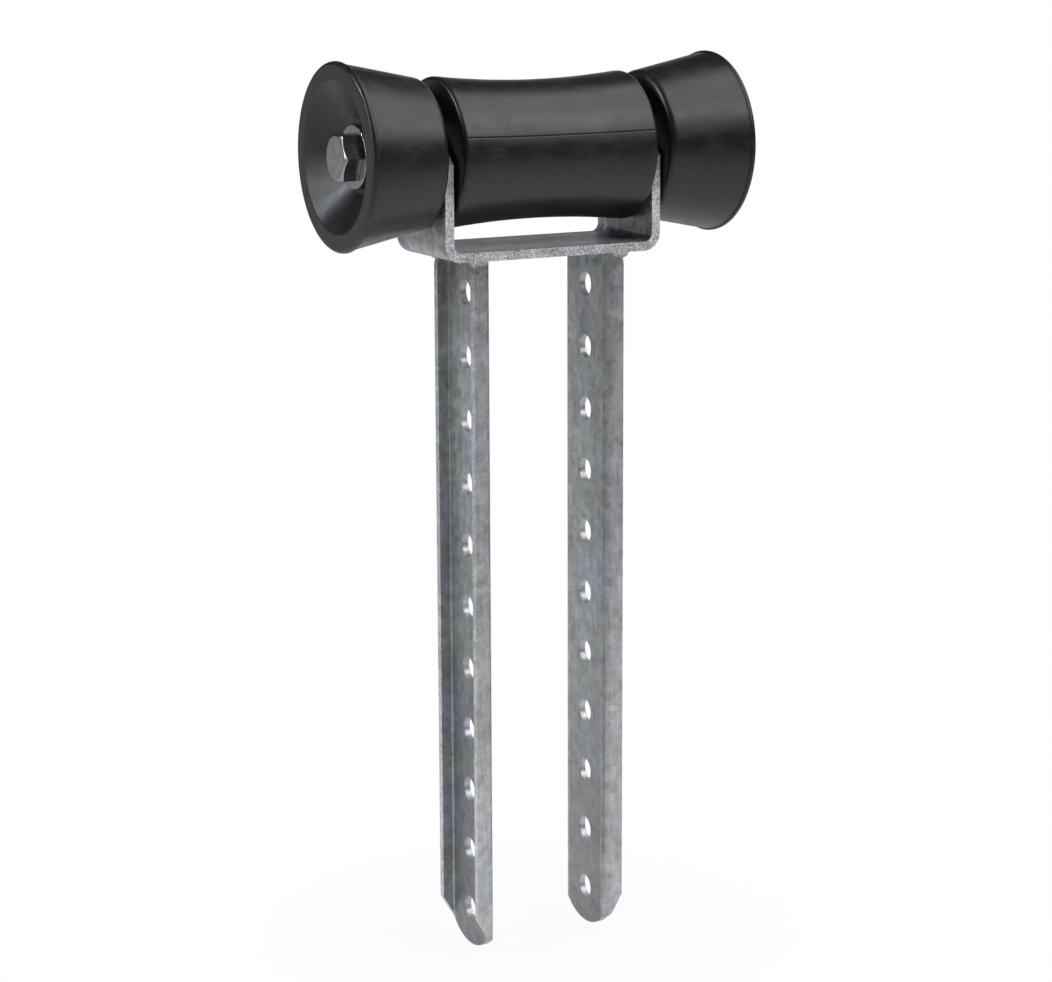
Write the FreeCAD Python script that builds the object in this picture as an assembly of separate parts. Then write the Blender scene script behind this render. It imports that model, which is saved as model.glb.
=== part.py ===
"""Keel roller bracket.

Three black rubber rollers turn on one bolt that crosses a folded steel cradle. Two perforated
channel stems are welded under the cradle, back to back with a gap between them, so that the
bracket straddles a trailer beam and is bolted to it at the height that the boat's keel needs.

The x axis runs along the axle, y runs from front to back and z is up, in millimetres. The origin
is the centre of the middle bolt hole, midway between the two stems.
"""
import FreeCAD, Part
import math
import os

from FreeCAD import Vector

# Driving dimensions of the stems
BEAM_GAP = 70.0
STEM_DEPTH = 48.0
STEM_FLANGE = 11.0
STEM_THICKNESS = 4.0
STEM_BEND_OUTER = 5.0
HOLE_COUNT = 11
HOLE_PITCH = 35.0
HOLE_RADIUS = 6.5
TOP_TO_FIRST_HOLE = 20.0
LAST_HOLE_TO_TIP = 21.0
TIP_ARC_RADIUS = 29.0
FLANGE_END_RISE = 12.0
FLANGE_CROP_WIDTH = 1.5
FLANGE_CROP_LENGTH = 7.0

# Driving dimensions of the cradle
CRADLE_WIDTH = 60.0
CRADLE_THICKNESS = 5.0
CRADLE_INSIDE = 120.0
CRADLE_BEND_INNER = 4.5
FLOOR_TO_AXLE = 50.5
EAR_CROP_BELOW_AXLE = 4.0
EAR_TOP_ABOVE_AXLE = 16.0
EAR_HOLE_RADIUS = 8.5

# Driving dimensions of the axle stack
BOLT_RADIUS = 8.0
BOLT_LENGTH = 230.0
BOLT_END_BEVEL = 1.5
HEX_ACROSS_FLATS = 24.0
HEX_FACE_SHARE = 0.95
HEX_CHAMFER_ANGLE = 30.0
HEX_TRIM_MARGIN = 0.5
HEAD_HEIGHT = 10.0
NUT_HEX_HEIGHT = 12.0
NUT_HEIGHT = 16.0
NUT_COLLAR_RADIUS = 11.3
NUT_RING_RADIUS = 10.0
NUT_RING_DEPTH = 3.2
NUT_RING_INSET = 0.6
WASHER_RADIUS = 17.0
WASHER_BORE_RADIUS = 8.5
WASHER_THICKNESS = 3.0
SLEEVE_RADIUS = 10.65
SLEEVE_BORE_RADIUS = 8.2
SLEEVE_LENGTH = 36.0

# Driving dimensions of the rollers
ROLLER_BORE_RADIUS = 10.72
END_PLAY = 0.8
WAIST_RADIUS = 37.3
SHOULDER_RADIUS = 40.7
SHOULDER_BEVEL = 2.0
SMALL_END_RADIUS = 40.2
SMALL_END_BEVEL = 2.2
FLARE_END_RADIUS = 49.1
RIM_POSITION = 111.1
RIM_RADIUS = 50.0
NOSE_POSITION = 114.5
NOSE_BEVEL = 2.2
MOUTH_RADIUS = 40.2
CUP_FLOOR_RADIUS = 19.5

# Driving dimensions of the welds
WELD_LEG = 3.8
WELD_CROWN = 0.5
WELD_OVERRUN = 2.0

# Places worked out from the driving dimensions
STEM_TOP = HOLE_PITCH * (HOLE_COUNT - 1) / 2 + TOP_TO_FIRST_HOLE
STEM_TIP = -HOLE_PITCH * (HOLE_COUNT - 1) / 2 - LAST_HOLE_TO_TIP
WEB_OUTER = BEAM_GAP / 2
WEB_INNER = WEB_OUTER + STEM_THICKNESS
FLANGE_EDGE = WEB_OUTER + STEM_FLANGE
STEM_BEND_INNER = STEM_BEND_OUTER - STEM_THICKNESS
CRADLE_UNDERSIDE = STEM_TOP
CRADLE_FLOOR = CRADLE_UNDERSIDE + CRADLE_THICKNESS
AXLE_Z = CRADLE_FLOOR + FLOOR_TO_AXLE
EAR_INNER = CRADLE_INSIDE / 2
EAR_OUTER = EAR_INNER + CRADLE_THICKNESS
CRADLE_BEND_OUTER = CRADLE_BEND_INNER + CRADLE_THICKNESS
WASHER_SEAT = EAR_OUTER + SLEEVE_LENGTH
WASHER_FACE = WASHER_SEAT + WASHER_THICKNESS
FAR = 300.0

AXIS_X = Vector(1, 0, 0)
AXIS_Y = Vector(0, 1, 0)
ORIGIN = Vector(0, 0, 0)
MARGIN = 1.0
SAME_POINT = 1e-6


def on_circle(centre, radius, degrees):
    """The point of a circle at an angle from the first axis of its plane."""
    a = math.radians(degrees)
    return (centre[0] + radius * math.cos(a), centre[1] + radius * math.sin(a))


def face_in(place, start, steps):
    """A flat face bounded by lines and arcs.

    place turns a pair of numbers into a point in space. A step is one pair, the end of a line,
    or two pairs, a point on an arc and its end. The last step is closed back to the start.
    """
    edges = []
    here = start
    for step in steps + [start]:
        if isinstance(step[0], tuple):
            through, end = step
            edges.append(Part.Arc(place(*here), place(*through), place(*end)).toShape())
        else:
            end = step
            if math.dist(here, end) > SAME_POINT:
                edges.append(Part.LineSegment(place(*here), place(*end)).toShape())
        here = end
    return Part.Face(Part.Wire(edges))


def in_xz(x, z):
    return Vector(x, 0, z)


def in_xy(x, y):
    return Vector(x, y, 0)


def in_yz(y, z):
    return Vector(0, y, z)


def turned(start, steps):
    """A solid turned about the axle from half of its section, given as x and radius."""
    solid = face_in(in_xz, start, steps).revolve(ORIGIN, AXIS_X, 360)
    solid.translate(Vector(0, 0, AXLE_Z))
    return solid


def rod(radius, x_from, x_to, z=AXLE_Z):
    """A round bar along x."""
    return Part.makeCylinder(radius, x_to - x_from, Vector(x_from, 0, z), AXIS_X)


def tube(outer, bore, x_from, x_to):
    return rod(outer, x_from, x_to).cut(rod(bore, x_from, x_to))


def mirrored(solid):
    """The same piece on the other side of the bracket."""
    return solid.mirror(ORIGIN, AXIS_X)


def hexagon(x_from, x_to):
    """A hexagonal bar along the axle, two flats facing up and down."""
    corner = HEX_ACROSS_FLATS / math.sqrt(3)
    points = [on_circle((0.0, AXLE_Z), corner, 60 * k) for k in range(6)]
    face = face_in(in_yz, points[0], points[1:])
    face.translate(Vector(x_from, 0, 0))
    return face.extrude(Vector(x_to - x_from, 0, 0))


def cone_trim(x_flat, x_rim):
    """What a chamfer of the corners keeps of a hexagon: a blunt cone that starts at x_flat."""
    beyond = HEX_ACROSS_FLATS / math.sqrt(3) + HEX_TRIM_MARGIN
    face_radius = HEX_FACE_SHARE * HEX_ACROSS_FLATS / 2
    depth = (beyond - face_radius) * math.tan(math.radians(HEX_CHAMFER_ANGLE))
    side = math.copysign(1.0, x_rim - x_flat)
    return turned((x_flat, 0), [
        (x_flat, face_radius),
        (x_flat + side * depth, beyond),
        (x_rim, beyond),
        (x_rim, 0),
    ])


def make_cradle():
    """Folded strap: a floor and two ears with cropped top corners, drilled for the axle."""
    top = AXLE_Z + EAR_TOP_ABOVE_AXLE
    ri, ro = CRADLE_BEND_INNER, CRADLE_BEND_OUTER
    low = (EAR_OUTER - ro, CRADLE_UNDERSIDE + ro)
    high = (EAR_INNER - ri, CRADLE_FLOOR + ri)
    start = (-EAR_OUTER, top)
    steps = [
        (-EAR_OUTER, low[1]),
        (on_circle((-low[0], low[1]), ro, 225), (-low[0], CRADLE_UNDERSIDE)),
        (low[0], CRADLE_UNDERSIDE),
        (on_circle(low, ro, 315), (EAR_OUTER, low[1])),
        (EAR_OUTER, top),
        (EAR_INNER, top),
        (EAR_INNER, high[1]),
        (on_circle(high, ri, 315), (high[0], CRADLE_FLOOR)),
        (-high[0], CRADLE_FLOOR),
        (on_circle((-high[0], high[1]), ri, 225), (-EAR_INNER, high[1])),
        (-EAR_INNER, top),
    ]
    half = CRADLE_WIDTH / 2
    strap = face_in(in_xz, start, steps)
    strap.translate(Vector(0, -half, 0))
    strap = strap.extrude(Vector(0, CRADLE_WIDTH, 0))
    crop_from = AXLE_Z - EAR_CROP_BELOW_AXLE
    flat = half - (top - crop_from)
    bottom = CRADLE_UNDERSIDE - MARGIN
    outline = face_in(in_yz, (-half, bottom), [(half, bottom), (half, crop_from), (flat, top),
                                               (-flat, top), (-half, crop_from)])
    outline.translate(Vector(-FAR, 0, 0))
    strap = strap.common(outline.extrude(Vector(2 * FAR, 0, 0)))
    return strap.cut(rod(EAR_HOLE_RADIUS, -FAR, FAR))


def channel_section():
    """Section of the right stem: a web near the gap and two short flanges pointing away from it."""
    half = STEM_DEPTH / 2
    ri, ro = STEM_BEND_INNER, STEM_BEND_OUTER
    back = (WEB_OUTER + ro, half - ro)
    front = (WEB_OUTER + ro, -half + ro)
    start = (FLANGE_EDGE, -half)
    steps = [
        (FLANGE_EDGE, -half + STEM_THICKNESS),
        (front[0], -half + STEM_THICKNESS),
        (on_circle(front, ri, 225), (WEB_INNER, front[1])),
        (WEB_INNER, back[1]),
        (on_circle(back, ri, 135), (back[0], half - STEM_THICKNESS)),
        (FLANGE_EDGE, half - STEM_THICKNESS),
        (FLANGE_EDGE, half),
        (back[0], half),
        (on_circle(back, ro, 135), (WEB_OUTER, back[1])),
        (WEB_OUTER, front[1]),
        (on_circle(front, ro, 225), (front[0], -half)),
    ]
    return face_in(in_xy, start, steps)


def end_trim():
    """What the two ends of the right stem keep.

    The lower end of the flat blank is cut to an arc before it is folded, so the web ends in an
    arc and the ends of the flanges climb away from it. At the top the free edge of each flange
    has a small sloping crop.
    """
    half = STEM_DEPTH / 2 + MARGIN
    centre = STEM_TIP + TIP_ARC_RADIUS
    corner = centre - math.sqrt(TIP_ARC_RADIUS ** 2 - half ** 2)
    arc = face_in(in_yz, (-half, corner), [((0, STEM_TIP), (half, corner)),
                                           (half, STEM_TOP), (-half, STEM_TOP)])
    arc.translate(Vector(WEB_OUTER - MARGIN, 0, 0))
    web_end = arc.extrude(Vector(STEM_FLANGE + 2 * MARGIN, 0, 0))
    fold = STEM_DEPTH / 2 - STEM_THICKNESS / 2
    level = centre - math.sqrt(TIP_ARC_RADIUS ** 2 - fold ** 2)
    side = face_in(in_xz, (WEB_OUTER - MARGIN, STEM_TOP), [
        (FLANGE_EDGE - FLANGE_CROP_WIDTH, STEM_TOP),
        (FLANGE_EDGE, STEM_TOP - FLANGE_CROP_LENGTH),
        (FLANGE_EDGE, level + FLANGE_END_RISE),
        (WEB_INNER, level),
        (WEB_INNER, STEM_TIP - MARGIN),
        (WEB_OUTER - MARGIN, STEM_TIP - MARGIN),
    ])
    side.translate(Vector(0, -half, 0))
    return web_end.common(side.extrude(Vector(0, 2 * half, 0)))


def make_stem():
    """The right stem: a channel with a rounded lower end and a row of bolt holes."""
    section = channel_section()
    section.translate(Vector(0, 0, STEM_TIP))
    stem = section.extrude(Vector(0, 0, STEM_TOP - STEM_TIP)).common(end_trim())
    for k in range(HOLE_COUNT):
        height = HOLE_PITCH * (k - (HOLE_COUNT - 1) / 2)
        stem = stem.cut(rod(HOLE_RADIUS, WEB_OUTER - MARGIN, WEB_INNER + MARGIN, z=height))
    return stem


def make_weld(stem):
    """Front weld of the right stem: a bead in the corner between its flange and the cradle."""
    front = -STEM_DEPTH / 2
    low = (front, STEM_TOP - WELD_LEG)
    out = (front - WELD_LEG, STEM_TOP)
    crown = WELD_LEG / 2 + WELD_CROWN
    bead = face_in(in_yz, low, [((front - crown, STEM_TOP - crown), out),
                                (front + STEM_THICKNESS, STEM_TOP),
                                (front + STEM_THICKNESS, low[1])])
    bead.translate(Vector(WEB_OUTER + STEM_BEND_OUTER / 2, 0, 0))
    length = FLANGE_EDGE + WELD_OVERRUN - WEB_OUTER - STEM_BEND_OUTER / 2
    return bead.extrude(Vector(length, 0, 0)).cut(stem)


def make_bolt():
    """Hexagon-head bolt, its head in the cup of the left roller."""
    top = -WASHER_FACE - HEAD_HEIGHT
    head = hexagon(top, -WASHER_FACE).common(cone_trim(top, -WASHER_FACE))
    end = -WASHER_FACE + BOLT_LENGTH
    shank = turned((-WASHER_FACE, 0), [
        (-WASHER_FACE, BOLT_RADIUS),
        (end - BOLT_END_BEVEL, BOLT_RADIUS),
        (end, BOLT_RADIUS - BOLT_END_BEVEL),
        (end, 0),
    ])
    return head.fuse(shank).removeSplitter()


def make_nut():
    """Lock nut: a chamfered hexagon and a round collar with a pocket for the nylon ring."""
    shoulder = WASHER_FACE + NUT_HEX_HEIGHT
    end = WASHER_FACE + NUT_HEIGHT
    body = hexagon(WASHER_FACE, shoulder).common(cone_trim(WASHER_FACE, shoulder))
    body = body.common(cone_trim(shoulder, WASHER_FACE))
    collar = rod(NUT_COLLAR_RADIUS, shoulder, end)
    bore = rod(BOLT_RADIUS, WASHER_FACE, end)
    pocket = rod(NUT_RING_RADIUS, end - NUT_RING_DEPTH, end)
    return body.fuse(collar).cut(bore).cut(pocket).removeSplitter()


def make_nut_ring():
    """Nylon ring in the collar of the lock nut."""
    end = WASHER_FACE + NUT_HEIGHT
    return tube(NUT_RING_RADIUS, BOLT_RADIUS, end - NUT_RING_DEPTH, end - NUT_RING_INSET)


def make_centre_roller():
    """Waisted roller between the ears, its shoulders bevelled."""
    end = EAR_INNER - END_PLAY
    edge = end - SHOULDER_BEVEL
    low = SHOULDER_RADIUS - SHOULDER_BEVEL
    return turned((-end, ROLLER_BORE_RADIUS), [
        (-end, low),
        (-edge, SHOULDER_RADIUS),
        ((0, WAIST_RADIUS), (edge, SHOULDER_RADIUS)),
        (end, low),
        (end, ROLLER_BORE_RADIUS),
    ])


def make_outer_roller():
    """Right roller: flared outwards to a raised rim, with a bevelled nose round a shallow cup."""
    inner = EAR_OUTER + END_PLAY
    cup_floor = WASHER_SEAT - END_PLAY
    return turned((inner, ROLLER_BORE_RADIUS), [
        (inner, SMALL_END_RADIUS - SMALL_END_BEVEL),
        (inner + SMALL_END_BEVEL, SMALL_END_RADIUS),
        (RIM_POSITION, FLARE_END_RADIUS),
        (RIM_POSITION, RIM_RADIUS),
        (NOSE_POSITION - NOSE_BEVEL, RIM_RADIUS),
        (NOSE_POSITION, RIM_RADIUS - NOSE_BEVEL),
        (NOSE_POSITION, MOUTH_RADIUS),
        (cup_floor, CUP_FLOOR_RADIUS),
        (cup_floor, ROLLER_BORE_RADIUS),
    ])


def main():
    stem = make_stem()
    weld = make_weld(stem)
    back_weld = weld.mirror(ORIGIN, AXIS_Y)
    washer = tube(WASHER_RADIUS, WASHER_BORE_RADIUS, WASHER_SEAT, WASHER_FACE)
    sleeve = tube(SLEEVE_RADIUS, SLEEVE_BORE_RADIUS, EAR_OUTER, WASHER_SEAT)
    outer_roller = make_outer_roller()
    nodes = {
        "cradle": make_cradle(),
        "left_stem": mirrored(stem),
        "right_stem": stem,
        "weld_left_front": mirrored(weld),
        "weld_left_back": mirrored(back_weld),
        "weld_right_front": weld,
        "weld_right_back": back_weld,
        "axle_bolt": make_bolt(),
        "head_washer": mirrored(washer),
        "nut_washer": washer,
        "lock_nut": make_nut(),
        "lock_nut_ring": make_nut_ring(),
        "left_sleeve": mirrored(sleeve),
        "centre_sleeve": tube(SLEEVE_RADIUS, SLEEVE_BORE_RADIUS, -EAR_INNER, EAR_INNER),
        "right_sleeve": sleeve,
        "left_roller": mirrored(outer_roller),
        "centre_roller": make_centre_roller(),
        "right_roller": outer_roller,
    }
    os.makedirs("parts", exist_ok=True)
    for name, solid in nodes.items():
        solid.exportStep(os.path.join("parts", name + ".step"))
        box = solid.optimalBoundingBox()
        print(f"{name:18s} solids {len(solid.Solids)}  valid {solid.isValid()}  "
              f"volume {solid.Volume / 1000:8.2f} cm3  "
              f"x {box.XMin:7.1f} {box.XMax:7.1f}  y {box.YMin:6.1f} {box.YMax:6.1f}  "
              f"z {box.ZMin:7.1f} {box.ZMax:7.1f}")


main()
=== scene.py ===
# %% [markdown]
# # A keel roller bracket in Blender
#
# The object carries the keel of a boat as it is winched on to its trailer. Three black
# rubber rollers turn on one long bolt, a folded steel strap holds the bolt, and two
# drilled channels hang below the strap so that the bracket can be bolted to the trailer's
# beam at one of several heights.
#
# The CAD part gives the sizes and places. This script loads it and puts a finer piece over
# each of its parts but the sleeves, which are hidden in the rollers: edges with real
# roundness, a real thread, weld beads with ripples, and finishes that are worked out from
# formulas. Lengths in the formulas are in millimetres, and they become Blender's metres in
# one place, where a mesh is made.

# %% Load the frame
import math

import bpy
import numpy as np
from mathutils import Euler, Matrix, Vector


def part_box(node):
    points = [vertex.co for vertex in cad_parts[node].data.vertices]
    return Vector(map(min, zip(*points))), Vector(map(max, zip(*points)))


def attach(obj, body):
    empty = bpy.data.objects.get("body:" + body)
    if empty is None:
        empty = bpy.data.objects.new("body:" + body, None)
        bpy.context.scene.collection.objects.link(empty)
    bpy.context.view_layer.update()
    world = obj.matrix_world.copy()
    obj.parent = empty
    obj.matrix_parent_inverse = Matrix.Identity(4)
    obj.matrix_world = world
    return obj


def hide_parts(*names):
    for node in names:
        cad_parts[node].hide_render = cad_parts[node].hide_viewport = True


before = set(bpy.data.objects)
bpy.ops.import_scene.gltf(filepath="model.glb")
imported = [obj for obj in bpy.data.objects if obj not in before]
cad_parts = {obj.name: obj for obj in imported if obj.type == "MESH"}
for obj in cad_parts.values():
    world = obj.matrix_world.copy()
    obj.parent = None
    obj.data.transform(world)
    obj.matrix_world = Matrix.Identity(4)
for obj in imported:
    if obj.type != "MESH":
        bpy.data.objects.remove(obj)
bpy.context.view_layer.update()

# %% [markdown]
# ## Measures taken from the CAD
#
# The box of each CAD part gives the measures that the pieces share, so a piece can't drift
# away from the part that it stands for. The bracket is symmetrical, so the right half is
# worked out and the left half is its mirror image.

# %% Read the measures
MM = 0.001


def span(node):
    """Lowest and highest corner of a CAD part in millimetres."""
    low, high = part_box(node)
    return np.array(low) / MM, np.array(high) / MM


cradle_low, cradle_high = span("cradle")
stem_low, stem_high = span("right_stem")
roller_low, roller_high = span("right_roller")
middle_low, middle_high = span("centre_roller")
bolt_low, bolt_high = span("axle_bolt")
washer_low, washer_high = span("nut_washer")
nut_low, nut_high = span("lock_nut")
ring_low, ring_high = span("lock_nut_ring")
AXLE_Z = (roller_low[2] + roller_high[2]) / 2
print(f"axle {AXLE_Z:.1f} mm up, stems from {stem_low[2]:.1f} to {stem_high[2]:.1f} mm")

# %% [markdown]
# ## From arrays to a mesh
#
# Nearly every piece is a grid: rows along one parameter, columns along another, and a
# four-cornered face between neighbours. The faces depend only on the two counts, so one
# function makes them for all the pieces. Another function turns points and faces into a
# Blender mesh. If the solid comes out inside out, its volume is negative, and then every
# face is turned over, so that its outside always faces outward.

# %% Build meshes from grids
def grid_faces(rows, columns, wrap_rows=False, wrap_columns=False):
    """Faces of a grid: (i, j), (i, j + 1), (i + 1, j + 1), (i + 1, j), with i and j counted
    round again where that direction closes on itself."""
    i = np.arange(rows if wrap_rows else rows - 1)
    j = np.arange(columns if wrap_columns else columns - 1)
    i, j = np.meshgrid(i, j, indexing="ij")
    i_next, j_next = (i + 1) % rows, (j + 1) % columns
    corners = [i * columns + j, i * columns + j_next,
               i_next * columns + j_next, i_next * columns + j]
    return np.stack(corners, axis=-1).reshape(-1, 4)


def fan_faces(tip, ring):
    """Triangles that close a ring of points with one point: (tip, ring k, ring k + 1)."""
    return np.stack([np.full(len(ring), tip), ring, np.roll(ring, -1)], axis=-1)


def volume(points, faces):
    """Six times the volume of a closed mesh: the sum of p0 . (p1 x p2) over its triangles."""
    fans = [faces[:, [0, k, k + 1]] for k in range(1, faces.shape[1] - 1)]
    p = points[np.concatenate(fans)]
    return np.einsum("ij,ij->i", p[:, 0], np.cross(p[:, 1], p[:, 2])).sum()


def add_mesh(name, points, *face_sets, closed=True):
    """An object made of points in millimetres and of sets of faces, each with one corner
    count. A closed mesh is turned so that its volume is positive."""
    if closed and sum(volume(points, faces) for faces in face_sets) < 0:
        face_sets = [faces[:, ::-1] for faces in face_sets]
    corners = np.concatenate([faces.ravel() for faces in face_sets])
    counts = np.concatenate([np.full(len(faces), faces.shape[1]) for faces in face_sets])
    mesh = bpy.data.meshes.new(name)
    mesh.vertices.add(len(points))
    mesh.vertices.foreach_set("co", (points * MM).astype(np.float32).ravel())
    mesh.loops.add(len(corners))
    mesh.loops.foreach_set("vertex_index", corners.astype(np.int32))
    mesh.polygons.add(len(counts))
    mesh.polygons.foreach_set("loop_start", (np.cumsum(counts) - counts).astype(np.int32))
    mesh.update(calc_edges=True)
    mesh.shade_smooth()
    piece = bpy.data.objects.new(name, mesh)
    bpy.context.scene.collection.objects.link(piece)
    return piece


def finish_piece(piece, material, slot, body, *nodes):
    """Gives the piece its material and the body that it moves with, and hides the CAD parts
    that it stands for. The slot is not used."""
    piece.data.materials.append(material)
    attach(piece, body)
    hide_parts(*nodes)
    count = sum(len(face.vertices) - 2 for face in piece.data.polygons)
    print(f"{piece.name}: {count} triangles before its modifiers")


# %% [markdown]
# ## Shader sums that read like sums
#
# A finish is a small program: noise, distances and masks, added and multiplied. Each sum
# is a Math node, and a finish needs dozens of them. The class below wraps a node's output
# and teaches it `+`, `-`, `*`, `%` and `**`, so the formulas can be written out as they
# would be in plain Python, and Blender gets its nodes all the same.

# %% A wrapper for shader sockets
class Signal:
    """The output of a shader node. Sums with it add Math nodes to its tree."""

    def __init__(self, tree, socket):
        self.tree, self.socket = tree, socket

    def node(self, kind, settings=None, inputs=None, output=0):
        """Adds a node, makes its settings, then gives its inputs numbers or links."""
        made = self.tree.nodes.new(kind)
        for name, value in (settings or {}).items():
            setattr(made, name, value)
        for key, value in (inputs or {}).items():
            if isinstance(value, Signal):
                self.tree.links.new(value.socket, made.inputs[key])
            else:
                made.inputs[key].default_value = value
        return Signal(self.tree, made.outputs[output])

    def maths(self, operation, *values):
        return self.node("ShaderNodeMath", {"operation": operation}, dict(enumerate(values)))

    def __add__(self, other):
        return self.maths("ADD", self, other)

    def __sub__(self, other):
        return self.maths("SUBTRACT", self, other)

    def __rsub__(self, other):
        return self.maths("SUBTRACT", other, self)

    def __mul__(self, other):
        return self.maths("MULTIPLY", self, other)

    def __pow__(self, other):
        return self.maths("POWER", self, other)

    def __abs__(self):
        return self.maths("ABSOLUTE", self)

    def __mod__(self, other):
        return self.maths("FLOORED_MODULO", self, other)

    __radd__ = __add__
    __rmul__ = __mul__

    def most(self, other):
        return self.maths("MAXIMUM", self, other)

    def least(self, other):
        return self.maths("MINIMUM", self, other)

    def rise(self, low, high):
        """0 below low, 1 above high and a smooth step between; it falls if low > high."""
        settings = {"interpolation_type": "SMOOTHSTEP"}
        if low > high:
            values = {0: self, 1: high, 2: low, 3: 1.0, 4: 0.0}
        else:
            values = {0: self, 1: low, 2: high, 3: 0.0, 4: 1.0}
        return self.node("ShaderNodeMapRange", settings, values)

    def blend(self, first, second):
        """A colour that goes from first to second as this signal goes from 0 to 1."""
        return self.node("ShaderNodeMix", {"data_type": "RGBA"},
                         {0: self, 6: first, 7: second}, 2)

    def scaled(self, x, y, z):
        """This vector with each of its three parts multiplied."""
        return self.node("ShaderNodeVectorMath", {"operation": "MULTIPLY"},
                         {0: self, 1: (x, y, z)})

    def parts(self):
        """The three parts of this vector."""
        return [self.node("ShaderNodeSeparateXYZ", {}, {0: self}, k) for k in range(3)]

    def noise(self, size, detail=3.0, roughness=0.55, stretch=(1, 1, 1)):
        """Smooth noise around 0.5 with features of that size, longer along a stretched axis."""
        place = self.scaled(*(1 / s for s in stretch))
        values = {"Vector": place, "Scale": 1 / size, "Detail": detail,
                  "Roughness": roughness}
        return self.node("ShaderNodeTexNoise", {}, values, "Fac")

    def cells(self, size):
        """Voronoi cells of that size, each in a random colour of its own."""
        return self.node("ShaderNodeTexVoronoi", {"feature": "F1"},
                         {"Vector": self, "Scale": 1 / size}, "Color")


def grey(value, tint=(1.0, 1.0, 1.0)):
    """A colour of that brightness, a little tinted."""
    return (*(value * t for t in tint), 1.0)


def new_material(name):
    """A material, its shader node and the place on the piece in millimetres."""
    material = bpy.data.materials.new(name)
    material.use_nodes = True
    tree = material.node_tree
    shader = tree.nodes["Principled BSDF"]
    coordinates = tree.nodes.new("ShaderNodeTexCoord")
    place = Signal(tree, coordinates.outputs["Object"])
    return material, shader, place.scaled(1 / MM, 1 / MM, 1 / MM)


def connect(shader, **inputs):
    """Links signals to the shader's inputs, or sets numbers. Base_Color means Base Color."""
    for name, value in inputs.items():
        key = name.replace("_", " ")
        if isinstance(value, Signal):
            value.tree.links.new(value.socket, shader.inputs[key])
        else:
            shader.inputs[key].default_value = value


def report(material):
    """Prints how many nodes the finish came to."""
    print(f"{material.name}: {len(material.node_tree.nodes)} shader nodes")


def bump(height, depth, strength=1.0):
    """A surface normal disturbed by a height from 0 to 1 that stands for depth millimetres."""
    return height.node("ShaderNodeBump", {},
                       {"Height": height, "Distance": depth * MM, "Strength": strength})


# %% [markdown]
# ## Rubber
#
# The rollers are moulded from black rubber, filled with carbon to stand sunlight. New
# rubber like this is satin: dark, with one broad soft highlight. Its finish here has a
# very fine grain, faint clouds where the mould was hotter or cooler, and pale scuffs and
# dust that gather near the ends, where the rollers rub the strap and get knocked.

# %% Rubber material
SEAM_ANGLE = math.pi - math.radians(15.2)
SEAM_ENDS = (58, 57)
NOSE_DUST, SMALL_END_DUST, SHOULDER_DUST = (94, 112), (73, 66), (50, 60)
OUTER_SKIN = (36.2, 37.2)


def make_rubber():
    """Black rubber. The seam is the line through the axle at the seam's angle, and its distance
    from a point is |y sin - up cos| of that angle. Dust lies only on the outer skin, thickest
    where |x| is near a roller's end."""
    material, shader, place = new_material("rubber_black")
    x, y, z = place.parts()
    up = z - AXLE_Z
    radius = (y * y + up * up) ** 0.5
    cloud = place.noise(14, 4)
    smear = place.noise(6.0, 6, 0.68, stretch=(3.0, 1, 1))
    grain = place.noise(0.55, 2)
    pores = place.noise(2.6, 5, 0.65)
    ends = abs(x).rise(*NOSE_DUST).most(abs(x).rise(*SMALL_END_DUST))
    ends = ends.most(abs(x).rise(*SHOULDER_DUST))
    specks = place.noise(1.2, 4, 0.7).rise(0.60, 0.74)
    worn = smear.rise(0.50, 0.72) * 0.45 + pores.rise(0.55, 0.75) * 0.25
    dust = (specks * ends * 0.6 + worn) * cloud.rise(0.36, 0.60) * radius.rise(*OUTER_SKIN)
    from_seam = abs(y * math.sin(SEAM_ANGLE) - up * math.cos(SEAM_ANGLE))
    seam = from_seam.rise(0.42, 0.18) * y.rise(0, -1) * abs(x).rise(*SEAM_ENDS)
    base = cloud.rise(0.3, 0.7).blend(grey(0.0125, (1.0, 1.0, 1.02)), grey(0.017))
    dusty = dust.least(1.0).blend(base, grey(0.060, (1.0, 0.95, 0.86)))
    # Painted shade: along the seam's groove the colour is made darker than the rubber round it.
    colour = seam.blend(dusty, grey(0.004))
    rough = 0.34 + 0.26 * (cloud - 0.5) + 0.26 * (smear - 0.5) + 0.14 * dust + 0.4 * seam
    height = grain * 0.35 + pores * 0.35 + smear * 0.3
    connect(shader, Base_Color=colour, Roughness=rough, Normal=bump(height, 0.10, 0.5))
    return material


rubber = make_rubber()
report(rubber)

# %% [markdown]
# ## Galvanised steel
#
# The strap and the channels were sheared, folded and welded, then dipped in molten zinc.
# The zinc froze in flat crystals, the spangle, and ran down in faint streaks. It has a soft
# metal sheen with hints of green and violet. Sheared edges and the walls of drilled holes
# are rougher, and bright specks are painted into their colour as painted glints.

# %% Galvanised material
STEM_THICKNESS = 4.0
STEM_FOLD_OUTER = 5.0
STEM_HOLE_PITCH = 35.0
STEM_HOLE_RADIUS = 6.5
WEB_HALF = stem_high[1] - STEM_FOLD_OUTER
WEB_OUTSIDE = stem_low[0]
WEB_INSIDE = WEB_OUTSIDE + STEM_THICKNESS
FLANGE_EDGE = stem_high[0]
CRADLE_HALF = cradle_high[1]
FLOOR_BELOW = cradle_low[2] + 11
HEAT_ZONE = (cradle_low[2] - 26, cradle_low[2] - 3)
SHEARED_DEPTHS = (0.5, 0.2)
# Heights over which the painted shade on the webs grows, inside the channel and outside it.
INSIDE_SHADE, OUTSIDE_SHADE = (110, -110), (40, -170)


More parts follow.
